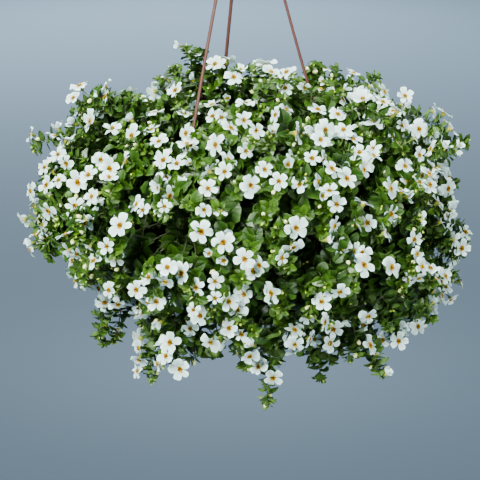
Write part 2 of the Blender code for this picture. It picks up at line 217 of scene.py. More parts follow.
# %% Camera
VIEW_DOWN = math.radians(13)
VIEW_DISTANCE = 1.7
VIEW_WIDTH = 0.48
AIM = np.array([-0.006, 0, RIM_Z - 0.041])
camera = bpy.data.objects.new("camera", bpy.data.cameras.new("camera"))
camera.data.sensor_width = 36
camera.data.lens = camera.data.sensor_width * VIEW_DISTANCE / VIEW_WIDTH
camera.location = AIM + VIEW_DISTANCE * np.array([0, -math.cos(VIEW_DOWN), math.sin(VIEW_DOWN)])
camera.rotation_euler = (math.pi / 2 - VIEW_DOWN, 0, 0)
bpy.context.collection.objects.link(camera)
bpy.context.scene.camera = camera
print("lens", round(camera.data.lens, 1), "mm")

# %% [markdown]
# ## Shader maths as Python expressions
# A material's colour comes from small sums of noise, age and distance from a midrib.  Wired by
# hand that takes a page of nodes, so a small class wraps a socket and turns the usual signs into
# Math nodes.  Colours go through Mix nodes, because a Math node would turn them grey.


# %% A wrapped socket
class Wire:
    """One output socket that can be used in sums."""

    def __init__(self, finish, socket):
        self.finish, self.socket = finish, socket

    def __add__(self, other):
        return self.finish.math("ADD", self, other)

    def __radd__(self, other):
        return self.finish.math("ADD", other, self)

    def __sub__(self, other):
        return self.finish.math("SUBTRACT", self, other)

    def __rsub__(self, other):
        return self.finish.math("SUBTRACT", other, self)

    def __mul__(self, other):
        return self.finish.math("MULTIPLY", self, other)

    def __rmul__(self, other):
        return self.finish.math("MULTIPLY", other, self)

    def __pow__(self, other):
        return self.finish.math("POWER", self, other)

    def held(self):
        """The same value, kept between 0 and 1."""
        return self.finish.node("Clamp", {}, {0: self})


# %% A finish under construction
class Finish:
    """A material whose one Principled shader is filled in step by step."""

    def __init__(self, name, specular):
        self.made = bpy.data.materials.new(name)
        self.made.use_nodes = True
        self.tree = self.made.node_tree
        self.shader = self.tree.nodes["Principled BSDF"]
        self.join(specular, self.shader.inputs["Specular IOR Level"])

    def node(self, kind, settings, inputs, output=0):
        """Any node: its settings first, then numbers, colours or wires for its sockets."""
        made = self.tree.nodes.new("ShaderNode" + kind)
        for name, value in settings.items():
            setattr(made, name, value)
        for name, value in inputs.items():
            self.join(value, made.inputs[name])
        return Wire(self, made.outputs[output])

    def join(self, value, socket):
        if isinstance(value, Wire):
            self.tree.links.new(value.socket, socket)
        elif isinstance(value, tuple) and socket.type == "RGBA":
            socket.default_value = (*value, 1)
        else:
            socket.default_value = value

    def math(self, operation, first, second):
        return self.node("Math", {"operation": operation}, {0: first, 1: second})

    def mark(self, name):
        """A number kept at the mesh's points."""
        return self.node("Attribute", {"attribute_name": name}, {}, "Fac")

    def noise(self, size, detail=2.0, roughness=0.5):
        """Soft noise from 0 to 1, whose patches are about size metres across."""
        place = self.node("TexCoord", {}, {}, "Object")
        inputs = {"Vector": place, "Scale": 1 / size, "Detail": detail, "Roughness": roughness}
        return self.node("TexNoise", {}, inputs)

    def mix(self, first, second, share):
        """A colour between two colours."""
        inputs = {0: share, 6: first, 7: second}
        return self.node("Mix", {"data_type": "RGBA"}, inputs, 2)

    def bumped(self, height, depth):
        """Normals of a surface whose height varies from 0 to 1 over depth metres."""
        inputs = {"Height": height, "Distance": depth, "Strength": 1.0}
        self.join(self.node("Bump", {}, inputs), self.shader.inputs["Normal"])

    def coloured(self, colour, roughness):
        """The finished material, with its last two sockets filled."""
        self.join(colour, self.shader.inputs["Base Color"])
        self.join(roughness, self.shader.inputs["Roughness"])
        print(f"{self.made.name}: {len(self.tree.nodes)} nodes")
        return self.made

    def let_light_through(self, colour, share):
        """Mixes in a Translucent shader of one colour, as for a thin blade lit from its other side."""
        glow = self.node("BsdfTranslucent", {}, {"Color": colour})
        inputs = {0: share, 1: Wire(self, self.shader.outputs[0]), 2: glow}
        both = self.node("MixShader", {}, inputs)
        self.join(both, self.tree.nodes["Material Output"].inputs["Surface"])


# %% [markdown]
# ## The finishes
# Colours are for the surfaces themselves in even light.  The hanger and pot are one terracotta
# plastic: matt, slightly mottled, with the faint orange-peel of a mould.  The potting mix is dark
# peat with pale specks of perlite.

# %% Terracotta plastic
plastic = Finish("terracotta_plastic", 0.3)
mottle = plastic.noise(0.012, 4.0, 0.6)
dust = (plastic.noise(0.035, 3.0) * 2.4 - 0.9).held()
clay = plastic.mix((0.042, 0.012, 0.007), (0.066, 0.019, 0.012), mottle)
clay = plastic.mix(clay, (0.13, 0.060, 0.042), dust * 0.25)
plastic.bumped(plastic.noise(0.0011, 2.0), 0.00006)
terracotta_plastic = plastic.coloured(clay, 0.48 + mottle * 0.2)

# %% Potting mix
peat = Finish("potting_mix", 0.25)
crumbs = peat.noise(0.004, 5.0, 0.7)
perlite = (peat.noise(0.0042, 1.0) * 14.0 - 9.3).held()
brown = peat.mix((0.010, 0.006, 0.004), (0.055, 0.034, 0.020), crumbs)
peat.bumped(crumbs, 0.0012)
potting_mix = peat.coloured(peat.mix(brown, (0.55, 0.53, 0.48), perlite), 0.95 - perlite * 0.15)

# %% [markdown]
# ### Leaves
# A young leaf is bright yellow-green and darkens as it grows.  Its midrib and side veins are a
# little paler and sunk, which quilts the blade between them, and its underside is paler and duller.
# Its margins are lightened as a painted highlight, and the blade darkens towards its foot as a painted
# shade.  Each leaf knows its age, and each point how far along and across the blade it is, so the veins
# follow the leaf and never slide.

# %% Leaf finish
VEINS = 5.0
YOUNG_GREEN, GROWN_GREEN, OLD_GREEN = (0.042, 0.108, 0.001), (0.0138, 0.052, 0.0004), (0.0065, 0.031, 0.0004)
leaf = Finish("leaf_green", 0.36)
age, under, across, along = (leaf.mark(name) for name in ("age", "under", "across", "along"))
patches = leaf.noise(0.006, 2.0)
blade = leaf.mix(YOUNG_GREEN, GROWN_GREEN, (age * 2.0).held())
blade = leaf.mix(blade, OLD_GREEN, (age * 2.0 - 1.0).held())
blade = leaf.mix(blade, leaf.mix(YOUNG_GREEN, GROWN_GREEN, 0.35), (patches * 1.6 - 0.75).held() * 0.30)
wave = leaf.math("PINGPONG", along * VEINS - across * 1.3, 0.5)
side_veins = (1.0 - wave * 9.0).held() * (1.0 - across)
midrib = (1.0 - across * 9.0).held()
veins = leaf.math("MAXIMUM", side_veins * 0.6, midrib)
# Veins and the underside are paler in their own right; the margins are lightened as a painted highlight.
for colour, share in (((0.22, 0.34, 0.07), veins * 0.35), ((0.10, 0.18, 0.05), (under * 2.0).held()),
                      ((0.16, 0.27, 0.05), across**4 * 0.4)):
    blade = leaf.mix(blade, leaf.mix(blade, colour, 0.5), share)
# Painted shade: each blade darkens towards its foot, as where overlapping leaves shade it.
blade = leaf.mix(blade, (0.003, 0.012, 0.001), (0.45 - along * 1.2).held())
leaf.bumped(wave * 0.5 - midrib * 0.5 + patches * 0.4, 0.00035)
leaf.let_light_through((0.16, 0.34, 0.002), 0.20 - age * 0.10)
leaf_green = leaf.coloured(blade, 0.31 + patches * 0.18 + under * 0.25)

# %% [markdown]
# ### Stems, petals, throats and buds
# Stems are green, and redden with age.  Petals are white with faint lengthwise veins; a cool painted
# shade greys their middle and their yellow-green foot, and a painted highlight brightens their rims.
# They let a good deal of light through.  The throat is golden yellow with two orange-brown patches at
# its sides, and darkens towards the bottom of its tube as a painted shade.  Unopened buds are
# yellow-green, then cream.

# %% Stem finish
stem = Finish("stem_green", 0.4)
stem_age = stem.mark("age")
streaks = stem.noise(0.003, 2.0)
bark = stem.mix((0.08, 0.145, 0.016), (0.020, 0.034, 0.008), (stem_age * 1.8).held())
bark = stem.mix(bark, (0.038, 0.017, 0.008), (stem_age * 1.3 - 0.25).held() * streaks)
stem.bumped(streaks, 0.0003)
stem_green = stem.coloured(bark, 0.5 + streaks * 0.15)

# %% Petal finish
petal = Finish("petal_white", 0.3)
petal_along, petal_across = petal.mark("along"), petal.mark("across")
lines = petal.math("PINGPONG", petal_across * 3.0, 0.5)
foot = (1.0 - petal_along * 3.2).held()
# Painted shade and highlight: the blade is greyer in its middle and brighter towards its rim and tip.
painted_rim_light = (petal_across * petal_across * 0.7 + petal_along * petal_along * 0.6).held()
white = petal.mix((0.35, 0.50, 0.43), (0.66, 0.88, 0.85), (painted_rim_light * 0.75 + petal_along * 0.35).held())
white = petal.mix(white, (0.50, 0.58, 0.54), (1.0 - lines * 3.0).held() * 0.14)
# The foot is yellow-green: partly its own tint, partly a painted shade near the throat.
white = petal.mix(white, (0.52, 0.58, 0.36), foot * 0.5)
petal.bumped(lines * 0.35 + petal.noise(0.005, 2.0), 0.00035)
petal.let_light_through((0.84, 0.91, 0.88), 0.26)
petal_white = petal.coloured(white, 0.55 - petal_along * 0.08)

# %% Throat finish
THROAT_DARK = (0.045, 0.012, 0.0)
throat = Finish("throat_gold", 0.05)
patch, depth, tube = throat.mark("patch"), throat.mark("depth"), throat.mark("tube")
gold = throat.mix((0.38, 0.21, 0.0), THROAT_DARK, patch)
# Painted shade: the throat darkens towards the bottom of its tube, where it is deep.
gold = throat.mix(gold, THROAT_DARK, (depth * 1.2 - 0.22).held())
gold = throat.mix(gold, (0.16, 0.19, 0.02), tube)
throat.bumped(throat.noise(0.0015, 2.0), 0.0002)
throat_gold = throat.coloured(gold, 0.55 - depth * 0.1)

# %% Bud finish
bud = Finish("bud_cream", 0.35)
ripe, bud_height = bud.mark("ripe"), bud.mark("height")
closed = bud.mix((0.30, 0.42, 0.04), (0.44, 0.50, 0.12), ripe)
closed = bud.mix(closed, bud.mix(closed, (0.70, 0.72, 0.42), ripe), bud_height)
bud.bumped(bud.noise(0.002, 2.0), 0.0002)
bud_cream = bud.coloured(closed, 0.5 + bud_height * 0.1)

# %% [markdown]
# ## The pot
# A common 20 cm hanging pot is moulded in one shot: a thin tapered wall, a flat ledge round the
# top and a lip that turns down outside it.  It's a turned shape, so its profile is carried round
# the axis.  Three slots for the hanger's feet and six drainage holes are cut by a Boolean, because
# they don't follow the turning.

# %% Where the hanger's legs stand, and the slots that they pass through
WALL = 0.0016
LEDGE = 0.0020
LIP_FALL = 0.016
LIP_WALL = 0.0018
POT_BASE_RADIUS = 0.066
WALL_TOP_RADIUS = 0.0905
SLOT_RADIUS = (WALL_TOP_RADIUS + RIM_RADIUS - LIP_WALL) / 2
SLOT_HALF = 0.0020
LEG_AZIMUTHS = np.radians((-130, -10, 110))
DRAIN_RADIUS = 0.0045
DRAINS_FROM_AXIS = 0.044


def arc(radial, height, radius, start, stop, steps=5):
    """Points (radius, height) of a profile on an arc from angle start to stop, in degrees."""
    angle = np.radians(np.linspace(start, stop, steps))
    return [(radial + radius * math.cos(a), height + radius * math.sin(a)) for a in angle]


def inner_radius(z):
    """Radius of the pot's inner wall: it grows evenly from the base to the ledge."""
    share = (z - POT_BASE_Z) / (RIM_Z - POT_BASE_Z)
    return POT_BASE_RADIUS + share * (WALL_TOP_RADIUS - POT_BASE_RADIUS) - WALL


def slot_cutter(azimuth):
    """Points of a square block that stands through the ledge."""
    outward, sideways = around(azimuth)
    square = [outward * SLOT_RADIUS + a * SLOT_HALF * outward + b * SLOT_HALF * sideways
              for a, b in ((1, 1), (-1, 1), (-1, -1), (1, -1))]
    return np.vstack([np.array(square) + (0, 0, z) for z in (RIM_Z - LEDGE - 0.001, RIM_Z + 0.001)])


print("slots", round(SLOT_RADIUS, 4), "m from the axis")

# %% The turned pot
POT_SIDES = 128
CREASE = 35
lip_in = RIM_RADIUS - LIP_WALL
floor_z = POT_BASE_Z + WALL
pot_profile = [(0, POT_BASE_Z + 0.0012), (0.030, POT_BASE_Z + 0.0012), (0.034, POT_BASE_Z + 0.0002)]
pot_profile += [(POT_BASE_RADIUS - 0.006, POT_BASE_Z)]
pot_profile += arc(POT_BASE_RADIUS - 0.003, POT_BASE_Z + 0.003, 0.003, -90, 0)
for below_rim, ridge in ((0.044, 0), (0.043, 0.0005), (0.040, 0.0005), (0.039, 0)):
    pot_profile += [(inner_radius(RIM_Z - below_rim) + WALL + ridge, RIM_Z - below_rim)]
pot_profile += [(WALL_TOP_RADIUS, RIM_Z - LEDGE), (lip_in - 0.0008, RIM_Z - LEDGE)]
pot_profile += arc(lip_in - 0.0008, RIM_Z - LEDGE - 0.0008, 0.0008, 90, 0, 3)
pot_profile += arc(lip_in + 0.0009, RIM_Z - LIP_FALL + 0.0009, 0.0009, 180, 360, 6)
pot_profile += arc(RIM_RADIUS - 0.0014, RIM_Z - 0.0014, 0.0014, 0, 90)
pot_profile += arc(inner_radius(RIM_Z) + 0.0012, RIM_Z - 0.0012, 0.0012, 90, 180, 4)
pot_profile += arc(inner_radius(floor_z) - 0.003, floor_z + 0.003, 0.003, 0, -90)
pot_profile += [(0, floor_z)]
pot_points, pot_faces = turned(*np.array(pot_profile).T, POT_SIDES)
heap = Heap().add(pot_points[None], pot_faces)
pot = heap.piece("moulded_pot", terracotta_plastic, "terracotta_plastic", CREASE)

# %% Cut the slots and drainage holes
heap = Heap()
for azimuth in LEG_AZIMUTHS:
    heap.add(slot_cutter(azimuth)[None], tube_faces(2, 4))
drains, _ = around(np.arange(6) * math.pi / 3)
drain_heights = np.array((0, 0, 1, 1)) * 0.006 + POT_BASE_Z - 0.002
hole, hole_faces = turned((0, DRAIN_RADIUS, DRAIN_RADIUS, 0), drain_heights, 24)
heap.add(hole[None] + DRAINS_FROM_AXIS * drains[:, None], hole_faces)
cutters = heap.piece("pot_cutters", terracotta_plastic, "terracotta_plastic")
cut = pot.modifiers.new("slots_and_drainage", "BOOLEAN")
cut.object = cutters
cut.operation = "DIFFERENCE"
bpy.context.view_layer.update()
cut_mesh = bpy.data.meshes.new_from_object(pot.evaluated_get(bpy.context.evaluated_depsgraph_get()))
pot.modifiers.clear()
pot.data = cut_mesh
pot.data.set_sharp_from_angle(angle=math.radians(CREASE))
bpy.data.objects.remove(cutters, do_unlink=True)
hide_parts("pot")
print("pot cut:", len(cut_mesh.polygons), "faces")

# %% [markdown]
# ## The potting mix
# Watering leaves the surface crumbly, a little higher in the middle and lower at the wall.  It's
# a turned block whose top rings are shaken up and down by a few sine ripples and fine crumbs.

# %% Potting mix block
SOIL_SIDES = 96
SOIL_TOP_Z = RIM_Z - 0.009
SOIL_CROWN = 0.004


def soil_top(radius):
    """Height of the crowned top: it falls with the square of the distance from the axis."""
    return SOIL_TOP_Z - SOIL_CROWN * (np.asarray(radius) / WALL_TOP_RADIUS) ** 2


edge = inner_radius(SOIL_TOP_Z) - 2 * GAP
low_z = floor_z + GAP
top_radii = edge * np.linspace(1, 0, 26)[1:]
wall_radii = (0, inner_radius(low_z) - 0.0045, inner_radius(low_z + 0.004) - GAP, edge)
soil_radii = np.concatenate((wall_radii, top_radii))
soil_heights = np.concatenate(([low_z, low_z, low_z + 0.004, soil_top(edge) - 0.001], soil_top(top_radii)))
soil_points, soil_faces = turned(soil_radii, soil_heights, SOIL_SIDES)
x, y, z = soil_points.T
ripple = 0.0007 * np.sin(170 * x + 40 * y) * np.sin(150 * y - 60 * x + 1)
crumb = 0.0007 * draw.standard_normal(len(x)).clip(-2, 1)
on_top = (z > soil_top(edge) - 0.0005) & (np.hypot(x, y) < edge - 0.001)
soil_points[:, 2] += np.where(on_top, ripple + crumb - 0.0002, 0)
soil = Heap().add(soil_points[None], soil_faces).piece("potting_mix_block", potting_mix, "potting_mix")
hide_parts("soil")

# %% [markdown]
# ## The hanger
# One hook carries a small boss, and three slender legs run from it to the pot's rim, where barbed
# feet catch under the ledge.  Each is a rod carried along a curve.  A plain bevelled curve would
# give round legs only, so the section is an ellipse given at each point.

# %% Hook
HOOK_INSIDE = 0.030
HOOK_THICK = 0.0046
bend = (HOOK_INSIDE + HOOK_THICK) / 2
angles = np.radians(np.linspace(-38, 212, 60))
hook_arc = np.stack((bend * np.cos(angles), 0 * angles, bend * np.sin(angles) - HOOK_INSIDE / 2), -1)
start = np.array([-math.sin(angles[0]), 0, math.cos(angles[0])])
foot_z = np.array([0, 0, BOSS_Z])
neck = bezier(foot_z + (0, 0, 0.024), foot_z + (0, 0, 0.034), hook_arc[0] - start * 0.012, hook_arc[0], 20)
boss_steps = np.array((0, 0.0003, 0.001, 0.003, 0.006, 0.009, 0.0105, 0.012, 0.014, 0.016, 0.020))
boss_radii = (0.0088, 0.0095, 0.0100, 0.0098, 0.0096, 0.0094, 0.0080, 0.0050, 0.0035, 0.0030, HOOK_THICK / 2)
hook_path = np.vstack((foot_z + boss_steps[:, None] * UP, neck[:-1], hook_arc))
hook_radii = np.full(len(hook_path), HOOK_THICK / 2)
hook_radii[:len(boss_radii)] = boss_radii
hook_radii[-4:] *= (0.97, 0.88, 0.72, 0.45)
heap = Heap().add(*rods(hook_path[None], (0, 1, 0), hook_radii, hook_radii, 20))
hook = heap.piece("moulded_hook", terracotta_plastic, "terracotta_plastic", 50)
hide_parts("hanger_hook")

# %% Legs
LEG_WIDTH = 0.0034
LEG_DEPTH = 0.0028
LEG_TOP_RADIUS = 0.0062
LEG_NAMES = ("front_left", "right", "rear_left")
LEG_BOWS = ((0.003, -0.0015), (-0.0035, 0.0), (0.0, 0.0))


def leg_path(azimuth, bow):
    """Down from the boss, on a line to the slot plus a parabola of bow outward and sideways, and down."""
    outward, sideways = around(azimuth)
    top = outward * LEG_TOP_RADIUS + (0, 0, BOSS_Z - GAP)
    start = top - (0, 0, 0.003)
    foot = outward * SLOT_RADIUS + (0, 0, RIM_Z + 0.014)
    share = np.linspace(0, 1, 60)[:, None]
    swell = 4 * share * (1 - share)
    run = start + (foot - start) * share + swell * (bow[0] * outward + bow[1] * sideways)
    below = (0.008, 0.002, -LEDGE - 0.0002, -LEDGE - 0.0005, -LEDGE - 0.008)
    return np.vstack((top, run, outward * SLOT_RADIUS + np.array([(0, 0, RIM_Z + z) for z in below])))


for azimuth, bow, name in zip(LEG_AZIMUTHS, LEG_BOWS, LEG_NAMES):
    path = leg_path(azimuth, bow)
    wide, deep = np.full(len(path), LEG_WIDTH / 2), np.full(len(path), LEG_DEPTH / 2)
    wide[-2:], deep[-2:] = (0.0040, 0.0010), (0.0016, 0.0010)
    heap = Heap().add(*rods(path[None], around(azimuth)[1], wide, deep, 14))
    leg = heap.piece(f"moulded_leg_{name}", terracotta_plastic, "terracotta_plastic")
    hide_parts(f"hanger_leg_{name}")

# %% [markdown]
# ## The shape of the mound
# From the front the plants make a wide, flattened ball that is rougher and fuller at some heights
# than at others.  A sphere would look clipped, so the mound's reach from its middle is given every
# fifteen degrees down the left and the right side, and blended between the two sides round the
# back and the front.  Trailing shoots make lobes round its skirt, and it dips where two of the
# hanger's legs go in.

# %% Mound
MOUND_MIDDLE = RIM_Z - 0.012
STEPS_DOWN = np.radians(np.arange(0, 181, 15))
REACH_RIGHT = (0.143, 0.149, 0.160, 0.175, 0.197, 0.210, 0.210, 0.220, 0.216, 0.174, 0.172, 0.171, 0.170)
REACH_LEFT = (0.143, 0.146, 0.150, 0.170, 0.198, 0.211, 0.222, 0.196, 0.166, 0.174, 0.178, 0.174, 0.168)
BLOOM_ABOVE = 0.006
SWELL_HEIGHT = 0.003
SKIRT_STARTS, SKIRT_FADE = 1.75, 0.6
LOBES, LOBE_TURN = 8, -0.70
LOBE_HEIGHT, LOBE_BASE = 0.033, 0.016
PARTINGS = np.radians(((54, -120), (47, -54)))
PARTING_HALVES = np.radians((17, 12))
PARTING_DEPTHS = np.array((0.033, 0.020))


def mound_direction(polar, azimuth):
    """Unit direction: sin p times outward, plus cos p upwards."""
    polar = np.asarray(polar)[..., None]
    return np.sin(polar) * around(azimuth)[0] + np.cos(polar) * UP


def lumps(polar, azimuth):
    """Swells 3 mm high, lobes 33 mm high round the skirt, and dips where legs go in.

    The swells are sin(5a + 2p) sin(6p + 1), the lobes are the square of (1 + cos(8a - 0.7))/2 beyond
    the skirt's start, and a dip falls off as a bell curve of the angle from its middle."""
    swells = SWELL_HEIGHT * np.sin(5 * azimuth + 2 * polar) * np.sin(6 * polar + 1)
    skirt = ((polar - SKIRT_STARTS) / SKIRT_FADE).clip(0, 1)
    lobes = skirt * (LOBE_HEIGHT * (0.5 + 0.5 * np.cos(LOBES * azimuth + LOBE_TURN)) ** 2 - LOBE_BASE)
    apart = np.arccos((mound_direction(polar, azimuth) @ mound_direction(*PARTINGS.T).T).clip(-1, 1))
    dips = PARTING_DEPTHS * np.exp(-0.5 * (apart / PARTING_HALVES) ** 2)
    return swells + lobes - dips.sum(-1)


def mound_reach(polar, azimuth):
    """Distance from the middle to the leaves' outer surface: left and right blended by cos azimuth."""
    right = 0.5 + 0.5 * np.cos(azimuth)
    reach = right * np.interp(polar, STEPS_DOWN, REACH_RIGHT)
    reach = reach + (1 - right) * np.interp(polar, STEPS_DOWN, REACH_LEFT)
    return reach + lumps(polar, azimuth) - BLOOM_ABOVE


def mound_depth(points):
    """How far points are inside the mound's surface, in metres along the line from its middle."""
    out = points - (0, 0, MOUND_MIDDLE)
    length = np.linalg.norm(out, axis=-1)
    polar = np.arccos((out[..., 2] / length).clip(-1, 1))
    return mound_reach(polar, np.arctan2(out[..., 1], out[..., 0])) - length


print("widest reach", max(REACH_LEFT), "left and", max(REACH_RIGHT), "right")

# %% [markdown]
# ## Where the shoots end
# Six hundred shoot tips cover the mound, as even as seeds in a sunflower's head but each a little
# out of place.  Fifty of them end the main shoots that the frame knows; the rest are side shoots,
# and each starts from the main shoot that ends nearest to it.  Another 490 end deeper in, so that
# the gaps between the outer ones are filled with leaves in the shade and not with daylight.

# %% Tips
OUTER_TIPS = 600
INNER_TIPS = 490
TIPS = OUTER_TIPS + INNER_TIPS
MAIN_SHOOTS = sum(len(nodes) for nodes in plants.values())
GOLDEN_ANGLE = math.pi * (3 - math.sqrt(5))


def spread(count, top, under, turn, power=2.0):
    """Azimuths a golden angle apart, and polar angles at even steps of the area between them.

    A band of the mound at polar angle p has an area of about reach^power sin p for each unit of p."""
    fine = np.radians(np.linspace(top, under, 400))
    area = np.cumsum(np.sin(fine) * mound_reach(fine, np.full(400, math.pi / 2)) ** power)
    index = np.arange(count)
    polar = np.interp((index + 0.5) / count, area / area[-1], fine)
    return polar, (index * GOLDEN_ANGLE + turn) % (2 * math.pi)


outer, inner = spread(OUTER_TIPS, 3, 150, 1.1), spread(INNER_TIPS, 10, 145, 2.6)
polar, azimuth = np.concatenate((outer, inner), axis=1)
polar = (polar + draw.normal(0, 0.045, TIPS)).clip(0.05, math.radians(151))
azimuth = azimuth + draw.normal(0, 0.05, TIPS) / np.sin(polar).clip(0.3)
main_polar, main_azimuth = spread(MAIN_SHOOTS, 10, 149, 0.4, 0)
main_outward = mound_direction(main_polar, main_azimuth)
main_tips = []
for row in main_outward @ mound_direction(polar, azimuth)[:OUTER_TIPS].T:
    row = np.where(np.isin(np.arange(OUTER_TIPS), main_tips), -2, row)
    main_tips.append(int(row.argmax()))
polar[main_tips], azimuth[main_tips] = main_polar, main_azimuth
print("tips", TIPS, "of which main", len(set(main_tips)))

# %% [markdown]
# ## Tussocks
# Side shoots crowd a little round the main shoot that carries them, and the group stands proud or
# low.  Here and there the shoots of a whole patch are longer, which breaks the outline.  Most of
# these tussocks stand anywhere; the strongest are given by their polar angle and azimuth in
# degrees and their height in metres, round the outline that is seen from the front.  The deeper
# tips spread through a thicker layer where the pot's wall is behind them.

# %% How deep each tip is sunk
CROWDING = 0.05
TUSSOCKS = 46
TUSSOCK_HEIGHTS = (0.006, 0.024)
TUSSOCK_HALF = 0.095
STRONG_HALF = 0.17
STRONG_TUSSOCKS = np.array((
    (53, 178, 0.024), (22, 161, 0.030), (32, 32, 0.018), (17, 72, 0.011), (74, 2, 0.034), (95, 0, 0.020),
    (106, -2, 0.018), (91, 180, 0.011), (102, 182, 0.022), (71, 178, 0.010), (136, 186, 0.008),
    (137, -125, 0.014)))
INNER_LEAST, INNER_SPAN, INNER_EXTRA = 0.012, 0.065, 0.022
WALL_POLAR, WALL_POLAR_HALF = np.radians((102, 28))
outward = mound_direction(polar, azimuth)
nearest = (outward @ main_outward.T).argmax(1)
crowding = np.where(np.arange(TIPS) < OUTER_TIPS, CROWDING, 0)[:, None]
outward = unit(outward * (1 - crowding) + main_outward[nearest] * crowding)
polar, azimuth = np.arccos(outward[:, 2]), np.arctan2(outward[:, 1], outward[:, 0])
sunk = np.abs(draw.normal(0, 0.008, TIPS)) + 0.003 + draw.normal(0, 0.004, MAIN_SHOOTS)[nearest]
strong_outward = mound_direction(*np.radians(STRONG_TUSSOCKS[:, :2].T))
strong = outward[(strong_outward @ outward[:OUTER_TIPS].T).argmax(1)]
bold = np.vstack((outward[draw.choice(OUTER_TIPS, TUSSOCKS, replace=False)], strong))
proud = np.concatenate((draw.uniform(*TUSSOCK_HEIGHTS, TUSSOCKS), STRONG_TUSSOCKS[:, 2]))
halves = np.concatenate((np.full(TUSSOCKS, TUSSOCK_HALF), np.full(len(strong), STRONG_HALF)))
sunk -= (proud * np.exp((outward @ bold.T - 1) * 2 / halves**2)).max(1)
beside_wall = np.abs(polar[OUTER_TIPS:] - WALL_POLAR) < WALL_POLAR_HALF
span = INNER_SPAN + INNER_EXTRA * beside_wall
sunk[OUTER_TIPS:] = INNER_LEAST + span * draw.uniform(0, 1, INNER_TIPS) ** 1.8
tips = (0, 0, MOUND_MIDDLE) + outward * (mound_reach(polar, azimuth) - sunk)[:, None]
print("tips stand from", round(-sunk.max(), 3), "to", round(-sunk.min(), 3), "m out of the surface")

# %% [markdown]
# ## The shoots' paths
# A shoot leaves the soil upright, arches over the rim and hangs down where it is low.  The main
# ones repeat the frame's curves, so everything grows out of the same roots.  Side shoots leave a
# main shoot in its own direction and bend out, up towards the light on top and down at the skirt.
# The deeper ones leave the second nearest main shoot, so they cross behind the outer ones.

# %% Main shoots
STATIONS = 60
PLANT_RADIUS = 0.044
PLANT_AZIMUTHS = np.radians((50, 170, 290))
ROOT_SPREAD = 0.62
ROOT_RING, RING_WIDENS = 0.009, 0.066
TIP_ARM, ROOT_ARM = (0.055, 0.075), (0.047, 0.055)
TIP_LEAN = 1.12
SKIRT_RADIUS = 0.152


def plant_of(azimuth):
    """Number of the plant whose azimuth is nearest."""
    return np.cos(np.asarray(azimuth)[..., None] - PLANT_AZIMUTHS).argmax(-1)


def shoot_paths(polar, azimuth, tip):
    """Up out of the soil, over the rim and out to the tip, as cubic curves.

    Roots lie on rings that widen with the tip's polar angle, drawn in towards the plant's middle.
    The lower the tip, the longer the curve's arms, by the square of sin p/2."""
    outward, _ = around(azimuth)
    centre = around(PLANT_AZIMUTHS[plant_of(azimuth)])[0] * PLANT_RADIUS
    ring = outward * (ROOT_RING + RING_WIDENS * polar / math.radians(150))[:, None]
    root = centre + ROOT_SPREAD * (ring - centre)
    root[:, 2] = soil_top(np.linalg.norm(root, axis=1)) - 0.002
    lean = np.minimum(TIP_LEAN * polar, math.pi)
    heading = outward * np.sin(lean)[:, None] + UP * np.cos(lean)[:, None]
    bow = np.sin(polar / 2) ** 2
    before = tip - heading * (TIP_ARM[0] + TIP_ARM[1] * bow)[:, None]
    inside = (SKIRT_RADIUS - np.hypot(before[:, 0], before[:, 1])).clip(0) * (polar > math.radians(100))
    before = before + outward * inside[:, None]
    above = root + UP * (ROOT_ARM[0] + ROOT_ARM[1] * bow)[:, None]
    return bezier(root, above, before, tip, STATIONS)


main_paths = shoot_paths(main_polar, main_azimuth, tips[main_tips])
main_plants = plant_of(main_azimuth)

# %% Side shoots
RISE_STEPS = np.radians((0, 30, 60, 90, 120, 150))
RISES = (0.35, 0.05, -0.30, -0.55, -0.8, -1.1)
HEADING_SCATTER = 0.60
FORK_SHARES = (0.42, 0.74)
ARM_SHARES = (0.40, 0.42)
WALL_CLEAR = 0.006
others = np.setdiff1d(np.arange(TIPS), main_tips)
second_nearest = (outward @ main_outward.T).argsort(1)[:, -2]
parent = np.where(others < OUTER_TIPS, nearest[others], second_nearest[others])
leaves_at = (draw.uniform(*FORK_SHARES, len(others)) * STATIONS).astype(int)
forks = main_paths[parent, leaves_at]
tangents = unit(np.gradient(main_paths, axis=1))[parent, leaves_at]
rise = np.interp(polar[others], RISE_STEPS, RISES)
headings = unit(outward[others] + rise[:, None] * UP + draw.normal(0, HEADING_SCATTER, (len(others), 3)))
lengths = np.linalg.norm(tips[others] - forks, axis=1)[:, None]
side_paths = bezier(forks, forks + tangents * lengths * ARM_SHARES[0],
                    tips[others] - headings * lengths * ARM_SHARES[1], tips[others], STATIONS)
beside_pot = (side_paths[..., 2] < RIM_Z + WALL_CLEAR) & (side_paths[..., 2] > POT_BASE_Z - 0.010)
from_axis = np.hypot(side_paths[..., 0], side_paths[..., 1])
push = np.where(beside_pot, ((RIM_RADIUS + WALL_CLEAR) / from_axis).clip(1), 1)
side_paths[..., :2] *= push[..., None]

paths = np.empty((TIPS, STATIONS, 3))
paths[main_tips], paths[others] = main_paths, side_paths
plant = np.empty(TIPS, int)
plant[main_tips], plant[others] = main_plants, main_plants[parent]
print("side shoots from", round(lengths.min(), 3), "to", round(lengths.max(), 3), "m long")

# %% [markdown]
# ## Joints
# Bacopa bears its leaves in pairs, each pair a quarter turn on from the last.  The joints are
# close together at the tip and draw apart as the shoot grows, so their distances from the tip are
# one growing row that each shoot stretches a little.

# %% Joints along every shoot
FROM_TIP = np.array((0.4, 1.4, 2.8, 4.6, 6.8, 9.6, 13, 17, 21.5, 26.5, 32, 38, 44.5, 52, 60, 69, 79,
                     90, 102, 115, 129, 144, 160)) / 1000
JOINTS = len(FROM_TIP)


